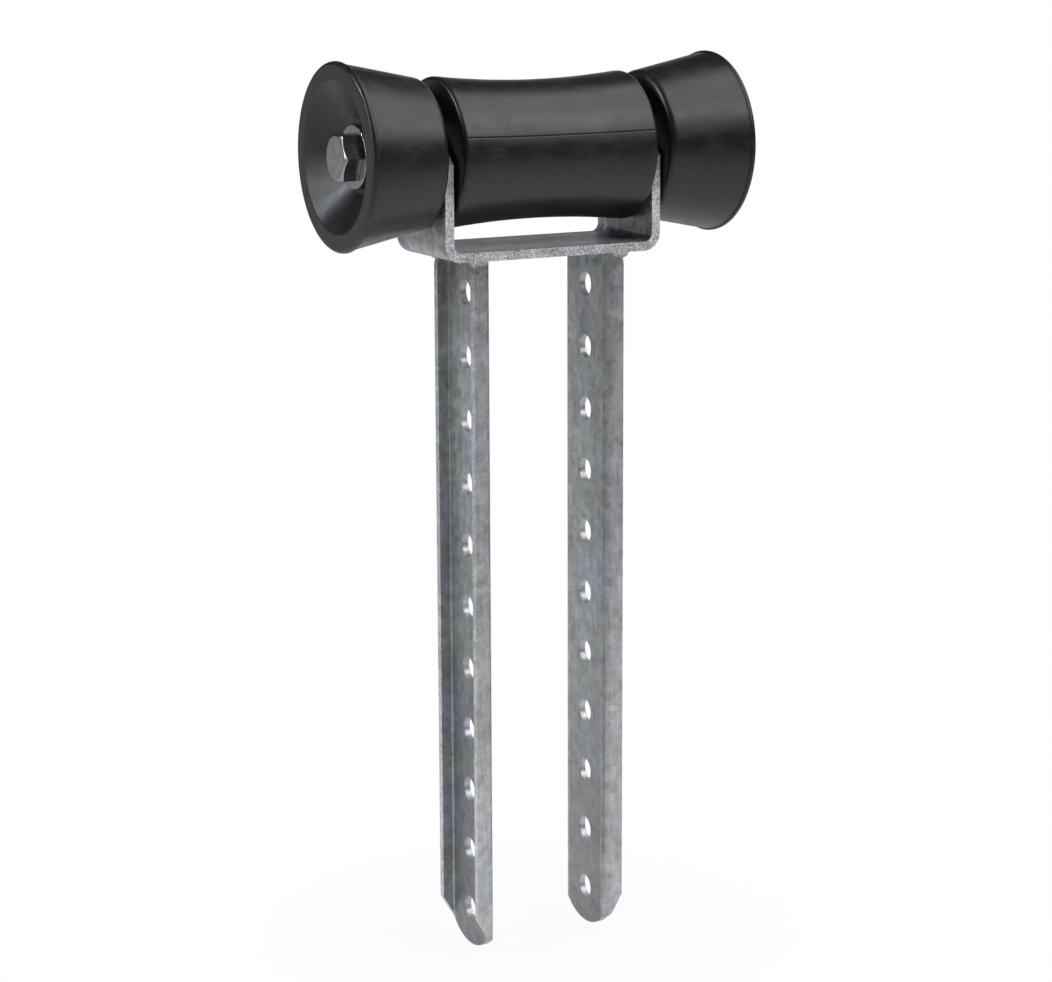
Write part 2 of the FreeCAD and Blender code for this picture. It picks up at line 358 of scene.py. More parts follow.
def make_galvanised(name, edge_mask, dull_and_shade_mask, contrast, run):
    """Hot-dip galvanised steel. edge_mask(x, y, z) is 1 on sheared edges, where bright specks
    are painted into the colour as painted glints; dull_and_shade_mask is the share of
    brightness lost, to dull zinc on the strap and to painted shade on the channels' webs;
    contrast scales the unevenness, and streaks are longer along the axes of run. The zinc is
    stained darker in the heat zone under the strap, where the welds are. The colour is also
    painted a little darker towards the top, as painted shade."""
    material, shader, place = new_material(name)
    x, y, z = place.parts()
    cloud = place.noise(34, 3)
    mottle = place.noise(5.5, 5, 0.62)
    fine = place.noise(1.0, 4, 0.7)
    streak = place.noise(1.6, 4, 0.6, stretch=run)
    spangle = place.cells(4.5).parts()[0]
    tint = place.noise(24, 4, 0.6, stretch=(1, 1, 1.6)).rise(0.42, 0.58)
    edge = edge_mask(x, y, z)
    stain = place.noise(6.5, 5, 0.68, stretch=(1, 1, 1.8)).rise(0.57, 0.72)
    low, high = HEAT_ZONE
    heat = z.rise(low, high) * z.rise(cradle_low[2], cradle_low[2] - 0.5)
    uneven = (0.20 * (cloud - 0.5) + 0.40 * (mottle - 0.5) + 0.24 * (streak - 0.5)
              + 0.08 * (spangle - 0.5) + 0.16 * (fine - 0.5) - 0.08 * stain)
    # Painted shade: the steel is made darker towards the top, by 0.05 from z = -150 to 120 mm.
    bright = 0.54 - 0.05 * z.rise(-150, 120) + contrast * uneven
    bright = bright * (1 - heat * (0.10 + 0.60 * stain + 0.4 * mottle.rise(0.5, 0.62)))
    # Painted shade on the channels' webs, and dull zinc on the strap, take brightness away
    # here.
    bright = bright * (1 - dull_and_shade_mask(x, y, z))
    # Painted glints: bright specks are added to the colour on sheared edges and hole rims.
    sparkle = place.noise(1.2, 4, 0.7).rise(0.40, 0.64)
    bright = bright.most(0.08) + edge * (0.04 + 0.52 * sparkle)
    cool = tint.blend(grey(1.0, (0.96, 1.0, 0.97)), grey(1.0, (0.95, 0.98, 1.08)))
    colour = bright.node("ShaderNodeMix", {"data_type": "RGBA", "blend_type": "MULTIPLY"},
                         {0: 1.0, 6: cool, 7: bright}, 2)
    rough = (0.42 + 0.24 * contrast * (mottle - 0.5) + 0.12 * (fine - 0.5) + 0.10 * edge
             + 0.10 * stain)
    height = fine * 0.45 + mottle * 0.5 + streak * 0.3 + sparkle * edge * 0.6
    connect(shader, Base_Color=colour, Roughness=rough, Metallic=0.72,
            Normal=bump(height, 0.13 * contrast, 0.6))
    return material


def stem_edges(x, y, z):
    """Faint rims of the holes: the distance to the nearest hole's centre, sqrt(y ^ 2 + up ^ 2),
    is under its radius and a bit. Flange edges: the last few tenths of a millimetre."""
    up = (z + STEM_HOLE_PITCH / 2) % STEM_HOLE_PITCH - STEM_HOLE_PITCH / 2
    ring = (y * y + up * up) ** 0.5
    hole = ring.rise(STEM_HOLE_RADIUS + 0.7, STEM_HOLE_RADIUS + 0.2)
    hole = hole * abs(x).rise(WEB_INSIDE + 1.0, WEB_INSIDE + 0.5)
    flange = abs(x).rise(*(FLANGE_EDGE - depth for depth in SHEARED_DEPTHS))
    return (0.25 * hole).most(0.5 * flange)


def cradle_edges(x, y, z):
    """The strap's long sheared edges, and the tops of its ears."""
    side = abs(y).rise(*(CRADLE_HALF - depth for depth in SHEARED_DEPTHS))
    top = z.rise(*(cradle_high[2] - depth for depth in SHEARED_DEPTHS))
    return side.most(top)


def stem_painted_shade(x, y, z):
    """Painted shade: the web is darkened inside the channel and on its outer face, more so
    towards its lower end.
    """
    web = abs(y).rise(WEB_HALF + 2, WEB_HALF - 2)
    within = abs(x).rise(WEB_INSIDE - 0.4, WEB_INSIDE - 0.1)
    within = within * abs(x).rise(WEB_INSIDE + 0.8, WEB_INSIDE + 0.4)
    without = abs(x).rise(WEB_OUTSIDE + 0.4, WEB_OUTSIDE + 0.1)
    lost = 0.52 * within * z.rise(*INSIDE_SHADE) + 0.42 * without * z.rise(*OUTSIDE_SHADE)
    return web * lost


def cradle_dull(x, y, z):
    """The strap's floor is a little dull along its front and back edges."""
    near_edge = abs(y).rise(CRADLE_HALF - 14, CRADLE_HALF - 4)
    return 0.22 * near_edge * z.rise(FLOOR_BELOW, FLOOR_BELOW - 4)


galvanised_stem = make_galvanised(
    "galvanised_stem", stem_edges, stem_painted_shade, 1.4, (1, 1, 12))
galvanised_cradle = make_galvanised(
    "galvanised_cradle", cradle_edges, cradle_dull, 2.1, (9, 1, 1))
report(galvanised_stem)
report(galvanised_cradle)

# %% [markdown]
# ## Zinc plate and nylon
#
# The bolt, its nut and the washers are plated: a thin bright zinc coat over turned or
# forged steel. Handling and damp leave it a little dull in patches, so the finish mixes two
# greys and two degrees of roughness. The ring in the lock nut is nylon, which grips the
# thread.

# %% Plated steel and nylon
def make_zinc():
    """Zinc plate: a mix of two greys by smooth noise, and roughness 0.24 + 0.16 (noise - 0.5)
    with a finer noise added."""
    material, shader, place = new_material("zinc_plate")
    patches = place.noise(5, 4, 0.6)
    fine = place.noise(0.9, 3, 0.6)
    colour = patches.rise(0.35, 0.7).blend(grey(0.32, (1.0, 1.0, 1.05)),
                                           grey(0.44, (0.98, 1.0, 1.04)))
    rough = 0.24 + 0.16 * (patches - 0.5) + 0.08 * (fine - 0.5)
    connect(shader, Base_Color=colour, Roughness=rough, Metallic=1.0,
            Normal=bump(patches * 0.7 + fine * 0.3, 0.05, 0.35))
    return material


def make_nylon():
    """Blue nylon: a mix of two blues by smooth noise, and roughness 0.35 + 0.1 noise."""
    material, shader, place = new_material("nylon_blue")
    cloud = place.noise(3, 3)
    colour = cloud.blend((0.015, 0.07, 0.30, 1.0), (0.03, 0.12, 0.42, 1.0))
    connect(shader, Base_Color=colour, Roughness=0.35 + 0.1 * cloud,
            Normal=bump(place.noise(0.6, 3), 0.04, 0.5))
    return material


zinc = make_zinc()
nylon = make_nylon()
report(zinc)
report(nylon)

# %% [markdown]
# ## The rollers
#
# A roller is moulded, so everything about it is round: it is one outline turned about the
# axle. The outline is a list of corners, each with a radius. An arc takes the place of
# each corner, and two support points keep the flat stretches beside it flat, so that the
# shading turns only where the rubber does. The outline runs down the bore and closes on
# itself, so the turned surface has no poles at all.

# %% Rounded outlines, turned about the axle
def rounded_outline(corners, support=0.2, steps=6):
    """A closed outline (x, r) with each corner (x, r, radius) replaced by an arc:
    tangent length t = radius tan(turn / 2), arc centre beside the corner on its bisector,
    arc points centre + radius (cos a, sin a). Radius 0 keeps the corner as a point."""
    xy = np.array([c[:2] for c in corners], float)
    pieces = []
    for k, (x, r, radius) in enumerate(corners):
        corner = xy[k]
        before = xy[k - 1] - corner
        after = xy[(k + 1) % len(corners)] - corner
        if radius == 0:
            pieces.append(corner[None])
            continue
        u, v = before / np.linalg.norm(before), after / np.linalg.norm(after)
        half = math.acos(np.clip(u @ v, -1, 1)) / 2
        length = radius / math.tan(half)
        bisector = (u + v) / np.linalg.norm(u + v)
        centre = corner + bisector * radius / math.sin(half)
        start, end = corner + u * length - centre, corner + v * length - centre
        t = np.linspace(0, 1, steps + 1)[:, None]
        sweep = math.acos(np.clip(start @ end / radius ** 2, -1, 1))
        arc = (np.sin((1 - t) * sweep) * start + np.sin(t * sweep) * end) / math.sin(sweep)
        edge_in = corner + u * (length + support)
        edge_out = corner + v * (length + support)
        pieces.append(np.concatenate([edge_in[None], centre + arc, edge_out[None]]))
    return np.concatenate(pieces)


def turned(outline, angles, lift=None):
    """The surface (x, r cos a, axle + r sin a) of a closed outline (x, r) turned about the
    axle, with r raised by lift(x, r, a) where there is one."""
    x, a = np.meshgrid(outline[:, 0], angles, indexing="ij")
    r = np.repeat(outline[:, 1:], len(angles), axis=1)
    if lift is not None:
        r = r + lift(x, r, a)
    points = np.stack([x, r * np.cos(a), AXLE_Z + r * np.sin(a)], axis=-1)
    faces = grid_faces(len(outline), len(angles), wrap_rows=True, wrap_columns=True)
    return points.reshape(-1, 3), faces


FULL_TURN = np.linspace(0, 2 * np.pi, 240, endpoint=False)
ROLLER_BORE = 10.72
FACE_SETBACK = 0.5
END_PLAY = 0.8
INNER_FACE = roller_low[0] + FACE_SETBACK
NOSE = roller_high[0]
RIM_STEP = NOSE - 3.45
RIM_RADIUS = (roller_high[2] - roller_low[2]) / 2
MOUTH_RADIUS, CUP_FLOOR_RADIUS = 40.2, 19.5
CUP_FLOOR = washer_low[0] - END_PLAY
FLARE_START, FLARE_END = 39.9, 49.1

# %% [markdown]
# ### The outer rollers
#
# Each outer roller flares away from the middle, so that the three together make a shallow
# cradle for the keel. At its wide end is a raised rim, and beyond the rim a conical cup
# sunk in the rubber. The head of the bolt sits in the left cup, and the nut stands a little
# out of the right one. The left roller is the right one seen in a mirror.

# %% Outer rollers
outer_corners = [
    (INNER_FACE, ROLLER_BORE, 0.6),
    (INNER_FACE, FLARE_START, 4.2),
    (RIM_STEP - 0.25, FLARE_END - 0.06, 0),
    (RIM_STEP, FLARE_END, 0.15),
    (RIM_STEP + 0.25, RIM_RADIUS - 0.25, 0.25),
    (RIM_STEP + 0.75, RIM_RADIUS, 0.4),
    (NOSE, RIM_RADIUS, 2.3),
    (NOSE, MOUTH_RADIUS, 1.2),
    (CUP_FLOOR, CUP_FLOOR_RADIUS, 1.2),
    (CUP_FLOOR, ROLLER_BORE, 0.5),
]
outer_outline = rounded_outline(outer_corners, support=0.08)
for side, name in ((1, "right_roller"), (-1, "left_roller")):
    points, faces = turned(outer_outline, FULL_TURN)
    points[:, 0] *= side
    piece = add_mesh(f"{name}_rubber", points, faces)
    finish_piece(piece, rubber, "rubber", name, name)

# %% [markdown]
# ### The centre roller
#
# The middle roller is waisted: its radius grows with the square of the distance from the
# middle. The two halves of its mould met along the axle, and where the flash between them
# was trimmed a thin groove is left; its colour is painted darker, as painted shade. The
# columns of the grid crowd together near that groove to hold its shape.

# %% Centre roller
SEAM_DEPTH, SEAM_WIDTH = 0.32, 0.28
END_SETBACK = 1.0
SHOULDER_ROUND = 2.4
MIDDLE_END = middle_high[0] - END_SETBACK
SHOULDER_PLACE = MIDDLE_END - 2.0
WAIST, SHOULDER = 37.3, middle_high[2] - AXLE_Z
near_seam = SEAM_ANGLE + np.radians(np.linspace(-1.6, 1.6, 17))
apart = np.abs(FULL_TURN - SEAM_ANGLE) > np.radians(2.0)
seam_turn = np.sort(np.concatenate([FULL_TURN[apart], near_seam]))


def waist_radius(x):
    """r = waist + (shoulder - waist) (x / shoulder place) ^ 2."""
    return WAIST + (SHOULDER - WAIST) * (x / SHOULDER_PLACE) ** 2


def seam_lift(x, r, a):
    """A groove -depth exp(-(distance from the seam / width) ^ 2), only on the outside, that
    runs out towards the ends."""
    away = (a - SEAM_ANGLE) * r / SEAM_WIDTH
    short_of_end = np.clip((MIDDLE_END - np.abs(x)) / 2, 0, 1)
    outside = r > WAIST - 3
    return -SEAM_DEPTH * np.exp(-away ** 2) * short_of_end * outside


stations = np.linspace(-54, 54, 37)
middle_corners = [
    (-MIDDLE_END, ROLLER_BORE, 0.6),
    (-MIDDLE_END, SHOULDER, SHOULDER_ROUND),
    *((x, waist_radius(x), 0) for x in stations),
    (MIDDLE_END, SHOULDER, SHOULDER_ROUND),
    (MIDDLE_END, ROLLER_BORE, 0.6),
]
points, faces = turned(rounded_outline(middle_corners), seam_turn, seam_lift)
piece = add_mesh("centre_roller_rubber", points, faces)
finish_piece(piece, rubber, "rubber", "centre_roller", "centre_roller")

# %% [markdown]
# ## Folded sheet
#
# The strap and the channels start as flat blanks. They are cut and drilled flat, and only
# then folded, and the script does the same. A blank is a flat mesh in two measures: a runs
# across the folds and b along them. Round each hole, a ring of faces joins the circle to
# the square cell about it. A folding formula then carries (a, b) to the middle of the
# folded sheet, Solidify gives it its thickness, and Bevel breaks the sharp edges a little,
# as tumbling and the zinc bath do.

# %% Flat blanks with holes
def grid_patch(a, b):
    """Points (a, b) of a flat grid; a and b are arrays of the same shape."""
    return np.stack([a, b], axis=-1).reshape(-1, 2), grid_faces(*a.shape)


def ring_patch(centre, radius, outline, rows=4):
    """Points between a circle and a closed outline that runs round it:
    p(t, k) = (1 - t) circle(k) + t outline(k), t from 0 to 1."""
    centre = np.array(centre, float)
    first = math.atan2(*(outline[0] - centre)[::-1])
    angle = first + np.linspace(0, 2 * np.pi, len(outline), endpoint=False)
    circle = centre + radius * np.stack([np.cos(angle), np.sin(angle)], axis=-1)
    t = np.linspace(0, 1, rows)[:, None, None]
    points = (1 - t) * circle + t * outline
    return points.reshape(-1, 2), grid_faces(rows, len(outline), wrap_columns=True)


def chain(*sides):
    """A closed outline from sides, each a pair of arrays (a, b), that share their ends."""
    return np.concatenate([np.stack(side, axis=-1)[:-1] for side in sides])


def welded(patches):
    """One blank from several patches. Points on the same spot become one, and every face is
    turned the same way round."""
    points = np.concatenate([p for p, _ in patches])
    starts = np.cumsum([0] + [len(p) for p, _ in patches[:-1]])
    faces = np.concatenate([f + s for (_, f), s in zip(patches, starts)])
    spots = np.round(points * 1000).astype(int)
    _, first, where = np.unique(spots, axis=0, return_index=True, return_inverse=True)
    points, faces = points[first], where.reshape(-1)[faces]
    a, b = points[faces, 0], points[faces, 1]
    area = (a * np.roll(b, -1, axis=1) - np.roll(a, -1, axis=1) * b).sum(axis=1)
    return points, np.where((area < 0)[:, None], faces[:, ::-1], faces)


def add_sheet(name, points, faces, thickness, edge_round):
    """A folded sheet: its middle surface, then Solidify and Bevel."""
    piece = add_mesh(name, points, faces, closed=False)
    solid = piece.modifiers.new("Thickness", "SOLIDIFY")
    solid.thickness = thickness * MM
    solid.offset = 0.0
    solid.use_even_offset = True
    edges = piece.modifiers.new("Edges", "BEVEL")
    edges.width = edge_round * MM
    edges.segments = 3
    edges.limit_method = "ANGLE"
    edges.angle_limit = math.radians(40)
    edges.harden_normals = True
    return piece


# %% [markdown]
# ### The channels
#
# Each channel has a web with eleven holes and two short flanges. The lower end of the
# blank was cut to an arc, so once folded the web ends in a curve and the flanges climb
# away from it. The top corner of each flange is cropped, which keeps it clear of the weld.

# %% Channel blank
FOLD_RADIUS = STEM_FOLD_OUTER - STEM_THICKNESS / 2
WEB_X = WEB_OUTSIDE + STEM_THICKNESS / 2
FOLD_END = WEB_HALF + FOLD_RADIUS * math.pi / 2
FLANGE_TOP, TIP = stem_high[2], stem_low[2]
TIP_RADIUS = 29.0
END_RISE = 12.0
CROP_WIDTH, CROP_LENGTH = 1.5, 7.0
CROP_START = FLANGE_TOP - CROP_LENGTH
SIDE_STEPS = 12
HOLE_COUNT = 11
HOLE_HEIGHTS = STEM_HOLE_PITCH * (np.arange(HOLE_COUNT) - (HOLE_COUNT - 1) / 2)


def stem_fold(a):
    """Across the channel: x = web and y = a on the web; on a fold of radius R with angle
    f = (|a| - web half) / R, x = fold centre - R cos f and |y| = web half + R sin f; on the
    flange, x grows with |a|."""
    f = np.clip((np.abs(a) - WEB_HALF) / FOLD_RADIUS, 0, math.pi / 2)
    beyond = np.maximum(np.abs(a) - FOLD_END, 0)
    x = WEB_X + FOLD_RADIUS * (1 - np.cos(f)) + beyond
    y = np.minimum(np.abs(a), WEB_HALF) + FOLD_RADIUS * np.sin(f)
    return x, np.sign(a) * y


def stem_end(a):
    """Height of the lower end: an arc of the tip's radius over the web and the folds, and
    on the flange a line that climbs by the flange's end rise over its reach."""
    x, y = stem_fold(a)
    arc = TIP + TIP_RADIUS - np.sqrt(TIP_RADIUS ** 2 - y ** 2)
    return arc + END_RISE * np.maximum(x - WEB_INSIDE, 0) / (FLANGE_EDGE - WEB_INSIDE)


def stem_blank():
    """A cell with a hole for each height, a strip above them, and a folded strip at each
    side. One row of points lies where the flange's crop starts."""
    across = np.linspace(-WEB_HALF, WEB_HALF, SIDE_STEPS + 1)
    share = np.linspace(0, 1, SIDE_STEPS + 1)
    reach = FLANGE_EDGE - WEB_X - FOLD_RADIUS
    flange = FOLD_END + np.array([0.5, reach / 2, reach - 0.5, reach])
    fold = np.linspace(WEB_HALF, FOLD_END, 9)
    strip = np.concatenate([fold, flange])
    patches = []
    for k, height in enumerate(HOLE_HEIGHTS):
        low = np.full_like(across, height - STEM_HOLE_PITCH / 2)
        strip_low = np.full_like(strip, height - STEM_HOLE_PITCH / 2)
        high = height + STEM_HOLE_PITCH / 2
        if k == 0:
            low, strip_low = stem_end(across), stem_end(strip)
        side = low[0] + share * (high - low[0])
        if k == len(HOLE_HEIGHTS) - 1:
            side[np.abs(side - CROP_START).argmin()] = CROP_START
        left, right = np.full_like(side, -WEB_HALF), np.full_like(side, WEB_HALF)
        outline = chain((across, low), (right, side),
                        (across[::-1], np.full_like(across, high)),
                        (left, side[::-1]))
        patches.append(ring_patch((0, height), STEM_HOLE_RADIUS, outline))
        up = (side - low[0]) / (high - low[0])
        b = strip_low + up[:, None] * (high - strip_low)
        a = np.broadcast_to(strip, b.shape)
        patches += cropped_strip(a, b)
    top_cell = HOLE_HEIGHTS[-1] + STEM_HOLE_PITCH / 2
    b = np.array([top_cell, (top_cell + FLANGE_TOP) / 2, FLANGE_TOP])[:, None]
    patches.append(grid_patch(*np.broadcast_arrays(across, b)))
    patches += cropped_strip(*np.broadcast_arrays(strip, b))
    return welded(patches)


def cropped_strip(a, b):
    """The folded strip on both sides, its flange narrowed near the top: the edge draws back
    by the crop's width over the crop's length, in a straight line."""
    loss = CROP_WIDTH * np.clip((b - CROP_START) / CROP_LENGTH, 0, 1)
    full = a[0, -1] - FOLD_END
    a = np.where(a > FOLD_END, FOLD_END + (a - FOLD_END) * (1 - loss / full), a)
    return [grid_patch(a, b), grid_patch(-a, b)]


blank, stem_faces = stem_blank()
for side, name in ((1, "right_stem"), (-1, "left_stem")):
    x, y = stem_fold(blank[:, 0])
    points = np.stack([side * x, y, blank[:, 1]], axis=-1)
    piece = add_sheet(f"{name}_channel", points, stem_faces, STEM_THICKNESS, 0.45)
    finish_piece(piece, galvanised_stem, "galvanised_steel", "bracket", name)

# %% [markdown]
# ### The strap
#
# The strap is a flat bar with cropped ends, folded up twice. Its floor lies across the two
# channels and its ears take the bolt. The ring of faces round each bolt hole reaches out
# to the ear's own outline.

# %% Strap blank
CRADLE_THICKNESS = 5.0
CRADLE_FOLD = 7.0
FLOOR_Z = cradle_low[2] + CRADLE_THICKNESS / 2
EAR_X = cradle_high[0] - CRADLE_THICKNESS / 2
FLOOR_HALF = EAR_X - CRADLE_FOLD
EAR_START = FLOOR_HALF + CRADLE_FOLD * math.pi / 2
EAR_TOP = EAR_START + cradle_high[2] - FLOOR_Z - CRADLE_FOLD
AXLE_A = EAR_START + AXLE_Z - FLOOR_Z - CRADLE_FOLD
EAR_HOLE = 8.5
EAR_CROP = 20.0
RING_REACH = 20.0


def cradle_fold(a):
    """Along the strap: z = floor on the floor; on a fold of radius R with angle
    f = (|a| - floor half) / R, |x| = floor half + R sin f and z = floor + R (1 - cos f);
    on the ear, z grows with |a|."""
    f = np.clip((np.abs(a) - FLOOR_HALF) / CRADLE_FOLD, 0, math.pi / 2)
    beyond = np.maximum(np.abs(a) - EAR_START, 0)
    x = np.minimum(np.abs(a), FLOOR_HALF) + CRADLE_FOLD * np.sin(f)
    return np.sign(a) * x, FLOOR_Z + CRADLE_FOLD * (1 - np.cos(f)) + beyond


def cradle_blank():
    """A grid for the floor, the folds and the lower ears, and a ring at each bolt hole."""
    ring_from = AXLE_A - RING_REACH
    fold = np.linspace(FLOOR_HALF, EAR_START, 13)
    lower_ear = np.linspace(EAR_START, ring_from, 5)[1:]
    half = np.concatenate([np.linspace(0, FLOOR_HALF, 9)[:-1], fold, lower_ear])
    rows = np.concatenate([-half[:0:-1], half])
    columns = np.linspace(-CRADLE_HALF, CRADLE_HALF, 17)
    patches = [grid_patch(*np.meshgrid(rows, columns, indexing="ij"))]
    crop_from = EAR_TOP - EAR_CROP
    flat = CRADLE_HALF - EAR_CROP
    corners = [(CRADLE_HALF, ring_from, 5), (CRADLE_HALF, crop_from, 8), (flat, EAR_TOP, 6),
               (-flat, EAR_TOP, 8), (-CRADLE_HALF, crop_from, 5), (-CRADLE_HALF, ring_from, 0)]
    sides = [(np.full_like(columns, ring_from), columns)]
    for (b0, a0, steps), (b1, a1, _) in zip(corners, corners[1:]):
        sides.append((np.linspace(a0, a1, steps + 1), np.linspace(b0, b1, steps + 1)))
    points, faces = ring_patch((AXLE_A, 0), EAR_HOLE, chain(*sides))
    return welded(patches + [(points, faces), (points * (-1, 1), faces)])


blank, faces = cradle_blank()
x, z = cradle_fold(blank[:, 0])
points = np.stack([x, blank[:, 1], z], axis=-1)
piece = add_sheet("cradle_strap", points, faces, CRADLE_THICKNESS, 0.5)
finish_piece(piece, galvanised_cradle, "galvanised_steel", "bracket", "cradle")

# %% [markdown]
# ## Weld beads
#
# Each channel hangs from the strap by a bead of weld at its front and its back. A bead is
# a row of frozen drops, each lapping over the last, so its radius rises and falls along
# its length. It follows the channel's rounded corner and ends in a blunt drop.

# %% Weld beads
WELD_LEG = 3.8
DROP_LENGTH = 1.7
SECTION_POWER = 1.5
WELD_FROM, WELD_TO = (span("weld_right_front")[k][0] for k in (0, 1))


def weld_bead(seed):
    """A tube along the corner below the strap, its middle line on the outside of the channel's
    fold. Section: |u| ^ n + |v| ^ n = 1; radius = leg end(x) (0.92 + 0.08 |sin(pi x / drop)|
    ^ 0.7) with a small wobble, end(x) closing both ends."""
    t = (1 - np.cos(np.linspace(0, np.pi, 61))) / 2
    x = WELD_FROM + t * (WELD_TO - WELD_FROM)
    a = np.linspace(0, 2 * np.pi, 40, endpoint=False)
    section = np.abs(np.cos(a)) ** SECTION_POWER + np.abs(np.sin(a)) ** SECTION_POWER
    norm = section ** (-1 / SECTION_POWER)
    end = (1 - (2 * t - 1) ** 6) ** 0.5
    drops = 0.92 + 0.08 * np.abs(np.sin(np.pi * (x + seed) / DROP_LENGTH)) ** 0.7
    into = np.clip(WEB_X + FOLD_RADIUS - x, 0, STEM_FOLD_OUTER - 0.1)
    y = -(WEB_HALF + np.sqrt(STEM_FOLD_OUTER ** 2 - into ** 2))
    r = (WELD_LEG * end * drops)[1:-1, None] * norm
    wobble = 1 + 0.05 * np.sin(3 * a + seed) * np.sin(x[1:-1, None] * 1.3 + seed)
    r = r * wobble
    rows = np.stack([np.repeat(x[1:-1, None], len(a), axis=1),
                     y[1:-1, None] + r * np.cos(a),
                     stem_high[2] + r * np.sin(a)], axis=-1).reshape(-1, 3)
    tips = np.array([(x[0], y[0], stem_high[2]), (x[-1], y[-1], stem_high[2])])
    first = np.arange(len(a))
    last = len(rows) - len(a) + first
    return (np.concatenate([rows, tips]),
            grid_faces(len(x) - 2, len(a), wrap_columns=True),
            fan_faces(len(rows), first[::-1]), fan_faces(len(rows) + 1, last))


for seed, (x_side, y_side) in enumerate(((1, 1), (1, -1), (-1, 1), (-1, -1))):
    place = f"{'right' if x_side > 0 else 'left'}_{'front' if y_side > 0 else 'back'}"
    points, *face_sets = weld_bead(1.3 * seed)
    piece = add_mesh(f"weld_bead_{place}", points * (x_side, y_side, 1), *face_sets)
    finish_piece(piece, galvanised_stem, "galvanised_steel", "bracket", f"weld_{place}")

# %% [markdown]
# ## The bolt, its nut and the washers
#
# A hexagon with softly rounded corners has a formula of its own. The distance to each pair
# of flats is a cosine, and a high power makes the largest of the three win while the
# corners blend. The same trick blends the hexagon with the cone that chamfers its corners.
# At the far end of the bolt the thread is a ridge that moves along the axle by one pitch
# in each turn.

# %% Hexagons and threads
FLAT = 12.0
FACE_SHARE = 0.95
CHAMFER_SLOPE = math.tan(math.radians(30))
FLAT_POWER, CHAMFER_POWER = 70, 90
BOLT_RADIUS = 8.0
THREAD_PITCH = 2.0
THREAD_DEPTH = 1.1
THREAD_BEYOND_NUT = 7.0
BOLT_BEVEL = 1.5
NUT_HEX_HEIGHT = 12.0
COLLAR_RADIUS = 11.3
POCKET_RADIUS, POCKET_DEPTH = 10.0, 3.2
BOLT_TURN = np.linspace(0, 2 * np.pi, 192, endpoint=False)


def hexagon_radius(a):
    """r(a) = flat / (sum over k of |cos(a - 90 degrees - 60 degrees k)| ^ p) ^ (1 / p)."""
    p = FLAT_POWER
    pairs = [np.abs(np.cos(a - math.pi / 2 - k * math.pi / 3)) ** p for k in range(3)]
    return FLAT / sum(pairs) ** (1 / p)


def chamfered(x, x_face, way):
    """The hexagon's radius blended with a 30 degree chamfer cone that starts at x_face:
    r = (hexagon ^ -q + cone ^ -q) ^ (-1 / q)."""
    cone = FACE_SHARE * FLAT + np.maximum((x - x_face) * way, 0) / CHAMFER_SLOPE
    q = CHAMFER_POWER
    return ((hexagon_radius(BOLT_TURN) / FLAT) ** -q + (cone / FLAT) ** -q) ** (-1 / q) * FLAT


def threaded(x, start, end):
    """r = bolt radius - depth saw(x / pitch - a / full turn), the saw being 0 on the crests
    and 1 in the grooves. The grooves start little by little, and a bevel ends the bolt."""
    phase = (x / THREAD_PITCH - BOLT_TURN / (2 * np.pi)) % 1
    groove = np.clip(1.25 - 2.5 * np.abs(phase - 0.5), 0, 1)
    fade = np.clip((x - start - 1) / 1.5, 0, 1)
    bevel = BOLT_RADIUS - np.maximum(x - (end - BOLT_BEVEL), 0)
    return np.minimum(BOLT_RADIUS - 0.05 - THREAD_DEPTH * groove * fade, bevel)


def stacked(rings):
    """Points (x, r cos a, axle + r sin a) of rings given as pairs of x and r, where r is a
    number or an array over the angles a."""
    x = np.array([np.full_like(BOLT_TURN, x) for x, _ in rings])
    r = np.array([np.broadcast_to(r, BOLT_TURN.shape) for _, r in rings])
    points = np.stack([x, r * np.cos(BOLT_TURN), AXLE_Z + r * np.sin(BOLT_TURN)], axis=-1)
    return points.reshape(-1, 3)


def bolt_surface():
    """Rows along the axle: the head's face, the chamfered hexagon, the plain shank, the thread
    and the end, with a point in the middle of each end face."""
    top, seat, end = bolt_low[0], -washer_high[0], bolt_high[0]
    face = FACE_SHARE * FLAT
    head = top + np.concatenate([np.linspace(0.05, 1.9, 14), [6.0, seat - top - 0.2]])
    thread_from = nut_high[0] - THREAD_BEYOND_NUT
    shank = np.concatenate([np.linspace(seat + 4, thread_from, 8),
                            np.arange(thread_from + 1, end - 0.05, 0.2), [end - 0.02]])
    rings = [(top, r) for r in (0.5 * face, face - 0.6, face - 0.25)]
    rings += [(x, chamfered(x, top, 1.0)) for x in head]
    rings += [(seat, FLAT - 0.3), (seat, BOLT_RADIUS + 0.5), (seat + 0.5, BOLT_RADIUS)]
    rings += [(x, threaded(x, thread_from, end)) for x in shank]
    rings += [(end, BOLT_RADIUS - BOLT_BEVEL - 0.4)]
    rows = stacked(rings)
    tips = np.array([(top, 0, AXLE_Z), (end, 0, AXLE_Z)])
    first = np.arange(len(BOLT_TURN))
    last = len(rows) - len(BOLT_TURN) + first
    return (np.concatenate([rows, tips]),
            grid_faces(len(rings), len(BOLT_TURN), wrap_columns=True),
            fan_faces(len(rows), first[::-1]), fan_faces(len(rows) + 1, last))


